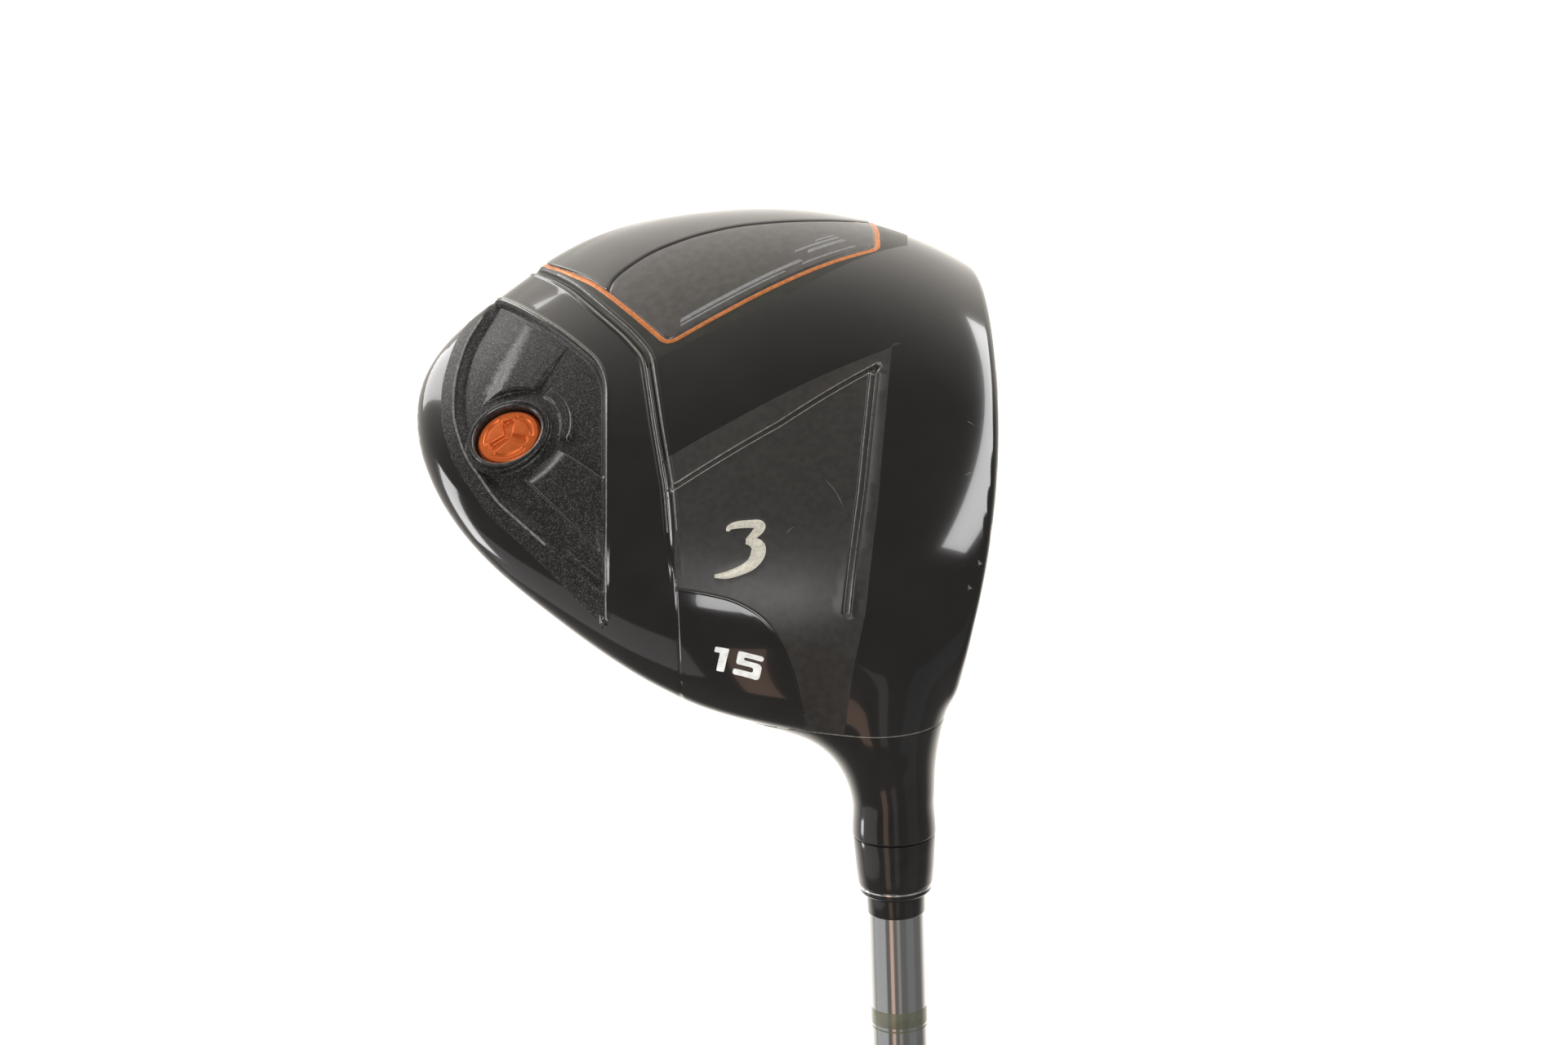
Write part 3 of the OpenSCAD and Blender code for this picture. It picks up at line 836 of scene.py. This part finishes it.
# each line of the relief with the offsets at which the mesh follows it, the spacing and if it is closed
groups = [
    (STEP, STEP_OFFSETS, 0.6, False),
    (BAND_LOW, (0,), 0.6, False),
    (MATTE_EDGE, (0,), 0.6, False),
    (PATCH, (-0.3, -0.15, 0, 0.15, 0.3), 0.6, False),
    (VEE, (-0.85, -0.6, -0.42, -0.22, 0, 0.22, 0.42, 0.6, 0.85), 0.5, False),
    (CHANNEL, (-1.0, -0.8, -0.65, -0.5, -0.35, 0.35, 0.5, 0.65, 0.8, 1.0), 0.5, False),
    (ARC, (-0.8, -0.35, -0.12, 0, 0.12, 0.35), 0.6, False),
    (BADGE, (0.83, 0.8, 0.4, 0.08, 0, -0.17, -0.36), 0.6, True),
    (OLIVE, (0,), 0.6, True),
    (WING_FRONT, (-0.8, -0.6, -0.4, -0.2, 0, 0.2, 0.45, 0.7, 0.9), 0.6, False),
    (WING_REAR, (-0.5, 0, 0.7, 1.3, 1.6, 2.0, 2.4, 2.7, 3.0), 0.8, False),
    (FIN + FIN[:1], (0,), 0.4, False),
    (PANEL, (0,), 0.4, True),
    (RIB, (-0.45, -0.22, 0.22, 0.45), 0.5, False),
    ([FAN[1], FAN[0], FAN[3], FAN[2]], (0.02, -0.25, -0.5, -0.75), 0.5, False),
    (CREASE, (-1.2, -0.6, 0, 0.6, 1.2), 0.7, False),
]
lines = []
for line, offsets, step, closed in groups:
    lines += sole_lines(line, offsets, step, closed)
for loop in BARS:
    lines += sole_lines(loop, (0,), 0.5, True)
for loop in THREE:
    lines += sole_lines(loop, (0, 0.1, 0.22), 0.16, True)
for loop in FIFTEEN:
    lines += sole_lines(loop, (0,), 0.2, True)
for loop in MARKS:
    lines += sole_lines(loop, (0,), 0.3, True)
turns = np.linspace(0, 2 * math.pi, 193)
for r in (6.1, 6.35, 6.55, 6.75, 7.2, 7.8, 8.25, 8.4, 8.6, 8.85, 9.15, 9.45, 9.75, 9.95, 10.1, 10.4):
    lines.append(on_sole(np.stack([WEIGHT[0] + r * np.cos(turns), WEIGHT[1] + r * np.sin(turns)], -1)))
for turn in np.radians((40, 41.25, 42.5, 43.75, 45, 107, 108.25, 109.5, 110.75, 112)):
    out = np.array([np.cos(turn), np.sin(turn)])
    lines += sole_lines([WEIGHT + 8.15 * out, WEIGHT + 10.15 * out], (0,), 0.3)
for drop in (0.4, 0.8):
    d = seam - [0, 0, drop] - CORE
    lines.append(cast(d / np.linalg.norm(d, axis=1, keepdims=True)))
lines.append(np.vstack([face_line, face_line[:1]]))
lines.append(np.vstack([neck_line, neck_line[:1]]))
low = neck_line - AXIS * 0.4 - CORE
lines.append(cast(low / np.linalg.norm(low, axis=1, keepdims=True)))
turns = np.linspace(0, 2 * math.pi, 97)[:-1]
port_ring = np.stack([WEIGHT[0] + 5.9 * np.cos(turns), WEIGHT[1] + 5.9 * np.sin(turns)], -1)
port_ring = on_sole(port_ring)

p, n, tri = sheet(-1, [seam], lines, 0.85, holes=[port_ring])
s_of = p[:, 0] * AXIS[0] + p[:, 2] * AXIS[2]
limit = smooth((seam_z(p[:, 0]) - p[:, 2]) / 0.8) * smooth((NECK_S - 0.2 - s_of) / 1.5)
p, n = lifted(p, n, relief, limit)
p -= n * (0.12 * (1 - smooth((NECK_S - s_of) / 0.4)) * (s_of < NECK_S - 0.001))[:, None]
mid = p[tri].mean(1)
front = to_front(mid, 0)
drop_face = inside(front[:, 0], front[:, 1], face_front) & (mid[:, 1] > 0)
capped = s_of[tri].min(1) > NECK_S - 0.003
keep = ~drop_face & ~capped
region = region_of(mid[:, 0], mid[:, 1], mid[:, 2], s_of[tri].mean(1))
club = to_club(p)
club_n = turn_to_club(n)
part_of = np.where((region == 6) | (region == 8) | (region == 9), 1, np.where(region == 7, 2, 0))
jobs = [
    ("sole_shell", 0, [GLOSS, MATTE, WING_M, OLIVE_M, SILVER, WHITE, EDGE_HIGHLIGHT, SCRATCH],
     {0: 0, 1: 1, 2: 2, 3: 3, 4: 4, 5: 5, 10: 6, 11: 7},
     "sole_body", "black_casting"),
    ("toe_badge_film", 1, [BADGE_M, BAR_M, BADGE_UP], {6: 0, 8: 1, 9: 2}, "toe_badge", "badge_film"),
    ("toe_trim_line", 2, [TRIM_M], {7: 0}, "toe_trim", "orange_paint"),
]
for name, part, mats, table, node, slot in jobs:
    pick = keep & (part_of == part)
    vv, nn, tt = subset(club, club_n, tri, pick)
    idx = np.array([table[r] for r in region[pick]])
    piece = new_piece(name, vv, tt, mats, "club", nn, idx)
    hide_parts(node)
print("sole triangles", int(keep.sum()))

p, n, tri = sheet(1, [seam], [np.vstack([face_line, face_line[:1]])], 0.9)
mid = p[tri].mean(1)
front = to_front(mid, 0)
keep = ~(inside(front[:, 0], front[:, 1], face_front) & (mid[:, 1] > 0))
vv, nn, tt = subset(to_club(p), turn_to_club(n), tri, keep)
piece = new_piece("crown_shell", vv, tt, [CROWN], "club", nn)
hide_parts("crown")

# face with its scoring lines
SCORES = [(z, *((6.5, 50) if 8 < z < 27 else (12, 44))) for z in (5, 8.4, 11.8, 15.2, 18.6, 22, 25.4, 28.8)]


def face_relief(x, z):
    h = np.zeros(x.shape)
    for zz, x0, x1 in SCORES:
        d = np.hypot(z - zz, np.maximum(0, np.maximum(x0 - x, x - x1)))
        h -= 0.3 * (1 - smooth((d - 0.12) / 0.3))
    return h


face_lines = []
for zz, x0, x1 in SCORES:
    xs = np.arange(x0 - 0.5, x1 + 0.6, 0.5)
    for dz in (-0.42, -0.27, -0.12, 0.12, 0.27, 0.42):
        q = np.stack([xs, face_y(xs, zz + dz), np.full(len(xs), zz + dz)], -1) - CORE
        face_lines.append(cast(q / np.linalg.norm(q, axis=1, keepdims=True)))
p, n, tri = sheet(0, [face_line], face_lines, 0.8, (to_front, from_front))
deep = face_relief(p[:, 0], p[:, 2])[tri].mean(1) < -0.2
p, n = lifted(p, n, face_relief, axes=(0, 2))
piece = new_piece("face_plate", to_club(p), tri, [FACE_M, SCORE_M], "club", turn_to_club(n),
                  deep.astype(int))
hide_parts("face_cup")


def tube_faces(rings, seg):
    """Quads between neighbouring rings of seg points each."""
    return [
        (j * seg + i, j * seg + (i + 1) % seg, (j + 1) * seg + (i + 1) % seg, (j + 1) * seg + i)
        for j in range(rings - 1) for i in range(seg)
    ]


# neck, from the seam up to the ferrule
NECK_SEG = 128
NECK_ROUND = 0.4  # the rounding at the neck's open end
neck_top = NECK_END - NECK_ROUND
stations = np.concatenate([NECK_S + np.array([0, 0.1, 0.25, 0.4]), np.linspace(NECK_S + 0.8, neck_top, 44),
                           NECK_END - np.array([0.25, 0.12, 0.04, 0])])
ring_d = neck_ways(NECK_SEG)
rings = []
for s in stations:
    t = root(AXIS * min(s, neck_top), ring_d, 3, 40, field, 60)
    t = t - 0.12 * (1 - smooth((s - NECK_S) / 0.4))
    t = t - 0.3 * (max(0, s - neck_top) / NECK_ROUND) ** 3
    rings.append(AXIS * s + ring_d * t[:, None])
rings.append(AXIS * NECK_END + ring_d * 4.6)
# the ring of faces just above the neck's seam (index 1) gets the painted edge highlight
seam_faces = [int(j == 1) for j in range(len(rings) - 1) for i in range(NECK_SEG)]
piece = new_piece("neck_shell", to_club(np.vstack(rings)), tube_faces(len(rings), NECK_SEG), [NECK_M, EDGE_HIGHLIGHT],
                  "club", index=seam_faces)
piece.data.set_sharp_from_angle(angle=math.radians(45))
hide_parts("hosel")


# ---------------------------------------------------------------- turned pieces
def finish_turned(obj, angle):
    """Welds the doubled points, faces outwards, and smooths all but the sharp edges."""
    bm = bmesh.new()
    bm.from_mesh(obj.data)
    bmesh.ops.remove_doubles(bm, verts=bm.verts, dist=1e-7)
    bmesh.ops.recalc_face_normals(bm, faces=bm.faces)
    bm.to_mesh(obj.data)
    bm.free()
    obj.data.polygons.foreach_set("use_smooth", np.full(len(obj.data.polygons), True))
    obj.data.set_sharp_from_angle(angle=math.radians(angle))


def turned(profile, seg):
    """Points of a profile of (radius, height) turned round the z axis."""
    a = np.linspace(0, 2 * math.pi, seg, endpoint=False)
    return np.array([[r * math.cos(t), r * math.sin(t), z] for r, z in profile for t in a])


def lathe(name, profile, mats, node, seg=96, row_index=lambda j: 0):
    """Turned about the shaft's axis; the profile is (radius, distance from the ground) in mm."""
    pts = turned([(r, CLUB_L - s) for r, s in profile], seg) / 1000
    index = [row_index(j) for j in range(len(profile) - 1) for i in range(seg)]
    obj = new_piece(name, pts, tube_faces(len(profile), seg), mats, "club", index=index)
    finish_turned(obj, 40)
    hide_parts(node)


lathe("ferrule_sleeve", [(4.4, 50.03), (6.1, 50.03), (6.26, 50.1), (6.3, 50.3), (6.22, 52), (6.02, 55),
                         (5.78, 57.6), (5.68, 57.98), (5.6, 58.08), (4.4, 58.08)],
      [FERRULE], "ferrule")
lathe("ferrule_band", [(4.4, 58.1), (5.5, 58.1), (5.62, 58.18), (5.66, 58.34), (5.62, 58.5), (5.5, 58.58),
                       (4.4, 58.58)], [RING], "ferrule_ring")
lathe("collar_sleeve", [(4.38, 58.62), (5.4, 58.62), (5.52, 58.72), (5.54, 58.95), (5.44, 59.2), (5.1, 59.5),
                        (4.7, 59.68), (4.52, 59.8), (4.49, 60.1), (4.47, 62.6), (4.42, 62.76), (4.38, 62.8)],
      [FERRULE], "tip_collar")

GRIP_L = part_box("grip")[1][2] * 1000
SHAFT_BUTT_R, SHAFT_TIP_R = 7.6, 4.35
TAPER_START = 63.52
TAPER_END = CLUB_L - 88.05  # the straight tip is 76 mm, of which 38 mm is in the hosel


def shaft_r(z):
    """Radius of the shaft at a height over the grip's end, in mm."""
    t = min(1, max(0, (z - TAPER_START) / (TAPER_END - TAPER_START)))
    return SHAFT_BUTT_R + (SHAFT_TIP_R - SHAFT_BUTT_R) * t


marks = [60.0, 62.8, 78.4, 81.0, 81.4, 81.7, 90, 110, 150, 151, 152.2, 153.2,
         200, 300, 400, 500, 600, 700, 760, 800, 824.5]
BAND_ROWS = (2, 4, 8, 10)  # the rows of the list above that are painted rings
lathe("shaft_tube", [(shaft_r(CLUB_L - s), s) for s in marks], [FOIL, BAND], "shaft",
      row_index=lambda j: int(j in BAND_ROWS))

# grip: turned, with a fine moulded pattern
GRIP_SEG, GRIP_ROWS = 160, 460
zs = np.linspace(3.55, GRIP_L, GRIP_ROWS)
key_z = (3.5, 5, 12, 45, 110, 190, GRIP_L - 3, GRIP_L)
radii = np.interp(zs, key_z, (14.0, 13.6, 12.5, 11.9, 10.6, 9.7, 8.9, 8.3))
kernel = np.hanning(15)
radii = np.convolve(np.pad(radii, 7, mode="edge"), kernel / kernel.sum(), mode="valid")
ang = np.linspace(0, 2 * math.pi, GRIP_SEG, endpoint=False)
height, angle = np.meshgrid(zs, ang, indexing="ij")
radius = np.repeat(radii[:, None], GRIP_SEG, 1)
one_way = np.abs(((angle * 10 / math.pi + height / 2.6) % 2) - 1)
other_way = np.abs(((angle * 10 / math.pi - height / 2.6) % 2) - 1)
zone = smooth((height - 16) / 4) * smooth((GRIP_L - 16 - height) / 4)
plain = 1 - smooth((np.abs(((height - 20) % 48) - 24) - 19) / 1.2)
radius = radius - 0.28 * (1 - smooth(np.minimum(one_way, other_way) / 0.28)) * zone * plain
for groove_z in (12.0, 14.5, GRIP_L - 12, GRIP_L - 9.5):
    radius = radius - 0.35 * (1 - smooth(np.abs(height - groove_z) / 0.7))
radius = np.minimum(radius, 14.3)
outer = np.stack([radius * np.cos(angle), radius * np.sin(angle), height], -1).reshape(-1, 3)
pts = np.vstack([outer, turned([(shaft_r(GRIP_L) + 0.1, GRIP_L)], GRIP_SEG)]) / 1000
piece = new_piece("grip_sleeve", pts, tube_faces(GRIP_ROWS + 1, GRIP_SEG), [GRIP_M], "club")
piece.data.set_sharp_from_angle(angle=math.radians(60))
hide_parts("grip")

# the cap's profile, as (radius, height over the grip's end)
cap = [(1.5, 3.4), (1.5, 0.3), (1.8, 0), (6.0, 0), (6.3, 0.35), (7.0, 0.35), (7.3, 0), (12.9, 0),
       (13.8, 0.35), (14.3, 1.1), (14.42, 2.0), (14.3, 2.9), (13.7, 3.45), (1.5, 3.45)]
lathe("grip_end_cap", [(r, CLUB_L - z) for r, z in cap], [GRIP_M], "grip_cap")

# ---------------------------------------------------------------- weight and its port
joint = [j for j in frame["joints"] if j["name"] == "weight_turn"][0]
centre = Vector(joint["pos_m"])
out_axis = Vector(joint["axis"]).normalized()
side_axis = Vector((1, 0, 0)) - out_axis * out_axis[0]
side_axis.normalize()
third = out_axis.cross(side_axis)


def weight_points(local):
    """Points given in mm in the weight's frame, where +z is out of the sole."""
    local = np.asarray(local, float)
    m = np.array([side_axis, third, out_axis])
    return np.array(centre) + local @ m / 1000


socket = [(6.25, -2.6), (6.25, -0.5), (6.2, -0.12), (6.05, 0.05), (5.85, 0.06), (5.6, -0.1), (5.42, -0.45),
          (5.34, -0.9), (5.3, -3.4), (3.75, -3.4), (3.75, -9.1), (0.05, -9.1)]
piece = new_piece("weight_socket", weight_points(turned(socket, 96)), tube_faces(len(socket), 96), [PORT_M],
                  "club")
finish_turned(piece, 40)
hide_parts("weight_port")

TOP_Z = -0.66  # the rim of the weight's head, under the port's edge
HEAD_R = 5.1
CROWNED = 0.16
HEAD_ROWS, HEAD_SEG = 89, 240
LOBES = [math.radians(90 + 120 * k) for k in range(3)]


def head_relief(x, y):
    """The weight's head: slightly crowned, with the key's three-lobed recess and a broken ring."""
    r = np.hypot(x, y)
    a = np.arctan2(y, x)
    h = CROWNED * (1 - (r / HEAD_R) ** 2)
    h -= 0.3 * smooth((r - 4.75) / 0.35)
    spoke = np.full(x.shape, 9.0)
    for k in LOBES:
        t = np.clip(x * math.cos(k) + y * math.sin(k), 0, 2.5)
        spoke = np.minimum(spoke, np.hypot(x - t * math.cos(k), y - t * math.sin(k)) - 0.55 - 0.12 * t)
    h -= 0.5 * (1 - smooth((spoke + 0.2) / 0.4))
    ring = np.abs(r - 3.75) - 0.3
    gate = np.ones(x.shape)
    for k in LOBES:
        off = np.abs((a - k + math.pi) % (2 * math.pi) - math.pi)
        gate = np.minimum(gate, smooth((off - 0.3) / 0.12))
    h -= 0.2 * (1 - smooth((ring + 0.14) / 0.28)) * gate
    return h


turns = np.linspace(0, 2 * math.pi, HEAD_SEG, endpoint=False)
gr, ga = np.meshgrid(np.linspace(0, HEAD_R, HEAD_ROWS + 1)[1:], turns, indexing="ij")
gx, gy = gr * np.cos(ga), gr * np.sin(ga)
top = np.stack([gx, gy, TOP_Z - CROWNED + head_relief(gx, gy)], -1).reshape(-1, 3)
rim = turned([(HEAD_R, TOP_Z - 0.55), (HEAD_R, -2.88), (3.6, -2.88), (3.5, -8.2), (0.05, -8.3)], HEAD_SEG)
origin = np.zeros(1)
pts = np.vstack([[[0, 0, TOP_Z - CROWNED + float(head_relief(origin, origin)[0])]], top, rim])
faces = [(0, 1 + i, 1 + (i + 1) % HEAD_SEG) for i in range(HEAD_SEG)]
for a, b, c, d in tube_faces(HEAD_ROWS + 5, HEAD_SEG):
    faces.append((1 + a, 1 + d, 1 + c, 1 + b))
piece = new_piece("weight_head", weight_points(pts), faces, [ORANGE], "weight_screw")
piece.data.set_sharp_from_angle(angle=math.radians(50))
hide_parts("weight_screw")

# ---------------------------------------------------------------- carried-over nodes
for node, mat in (("sole_pad", STEEL), ("tip_plug", CORK), ("butt_weight", BRASS), ("grip_tape", TAPE),
                  ("weight_washer", RUBBER)):
    obj = frame["nodes"][node]
    obj.data.materials.clear()
    obj.data.materials.append(mat)

# ---------------------------------------------------------------- floor, light and camera
floor_m = bpy.data.materials.new("pale_floor")
floor_m.use_nodes = True
bsdf = floor_m.node_tree.nodes["Principled BSDF"]
bsdf.inputs["Base Color"].default_value = (0.9, 0.9, 0.9, 1)
bsdf.inputs["Roughness"].default_value = 0.9
bsdf.inputs["Emission Color"].default_value = (1, 1, 1, 1)
bsdf.inputs["Emission Strength"].default_value = 0.75
bpy.ops.mesh.primitive_plane_add(size=60, location=(0, 0, -0.0005))
floor = bpy.context.object
floor.visible_glossy = False
floor.name = "floor"
floor.data.materials.append(floor_m)

# a bright wall behind the club fading to grey in front; the camera sees plain white
world = bpy.data.worlds.new("studio")
bpy.context.scene.world = world
world.use_nodes = True
nodes, link = world.node_tree.nodes, world.node_tree.links.new
nodes.clear()
w_out = nodes.new("ShaderNodeOutputWorld")
w_room = nodes.new("ShaderNodeBackground")
w_room.inputs["Color"].default_value = (1, 0.95, 0.88, 1)
w_white = nodes.new("ShaderNodeBackground")
w_white.inputs["Color"].default_value = (1, 1, 1, 1)
w_mix = nodes.new("ShaderNodeMixShader")
w_path = nodes.new("ShaderNodeLightPath")
w_coord = nodes.new("ShaderNodeTexCoord")
w_dot = nodes.new("ShaderNodeVectorMath")
w_dot.operation = "DOT_PRODUCT"
w_dot.inputs[1].default_value = (-0.05, 1.0, 0.0)
w_ramp = nodes.new("ShaderNodeMapRange")
w_ramp.interpolation_type = "SMOOTHSTEP"
for key, value in (("From Min", 0.1), ("From Max", 0.78), ("To Min", 0.24), ("To Max", 1.7)):
    w_ramp.inputs[key].default_value = value
link(w_coord.outputs["Generated"], w_dot.inputs[0])
link(w_dot.outputs["Value"], w_ramp.inputs["Value"])
link(w_ramp.outputs["Result"], w_room.inputs["Strength"])
link(w_path.outputs["Is Camera Ray"], w_mix.inputs["Fac"])
link(w_room.outputs["Background"], w_mix.inputs[1])
link(w_white.outputs["Background"], w_mix.inputs[2])
link(w_mix.outputs["Shader"], w_out.inputs["Surface"])


def softbox(name, at, aim, size, power, color=(1, 1, 1)):
    data = bpy.data.lights.new(name, "AREA")
    data.shape = "RECTANGLE"
    data.size, data.size_y = size
    data.energy = power
    data.color = color
    obj = bpy.data.objects.new(name, data)
    bpy.context.scene.collection.objects.link(obj)
    obj.location = at
    obj.rotation_euler = (Vector(aim) - Vector(at)).to_track_quat("-Z", "Y").to_euler()
    obj.visible_camera = False


HEAD = Vector((-0.018, 0.035, 1.085))
softbox("soft_top", HEAD + Vector((-0.35, -0.95, 0.85)), HEAD, (0.9, 0.5), 9)
softbox("soft_back", HEAD + Vector((-0.76, 0.71, 0.69)), HEAD, (0.5, 0.5), 3.8)
softbox("soft_right", HEAD + Vector((0.76, 0.09, 0.93)), HEAD, (1.25, 0.22), 6.5)
softbox("soft_low", HEAD + Vector((-1.0, -0.3, -0.36)), HEAD, (1.0, 0.6), 0.9)
softbox("soft_strip", HEAD + Vector((-0.4, -0.98, -0.37)), HEAD, (0.24, 0.9), 0.6, (1, 0.62, 0.45))
softbox("soft_grey", HEAD + Vector((0.1, -1.1, -0.37)), HEAD, (0.22, 0.9), 0.16, (1, 0.93, 0.86))
softbox("soft_blue", HEAD + Vector((0.85, -0.65, -0.37)), HEAD, (0.6, 0.9), 0.15, (0.7, 0.85, 1))
softbox("soft_rear", HEAD + Vector((-1.18, 0.14, -0.02)), HEAD, (0.2, 0.86), 3.6)

EL, ROLL, DIST = math.radians(19.5), math.radians(1.9), 1.1
at = Vector((-0.015265, 0.017999, 1.08635))
back = Vector((0, -math.cos(EL), math.sin(EL)))
right = Vector((1, 0, 0))
up = back.cross(right)
right, up = right * math.cos(ROLL) - up * math.sin(ROLL), up * math.cos(ROLL) + right * math.sin(ROLL)
cam_data = bpy.data.cameras.new("camera")
cam_data.lens = 165
cam_data.sensor_width = 36
cam_data.clip_start = 0.01
cam_data.clip_end = 100
cam = bpy.data.objects.new("camera", cam_data)
bpy.context.scene.collection.objects.link(cam)
cam.matrix_world = Matrix.Translation(at + back * DIST) @ Matrix((right, up, back)).transposed().to_4x4()
bpy.context.scene.camera = cam
bpy.context.scene.view_settings.view_transform = "Standard"
bpy.context.scene.view_settings.look = "None"
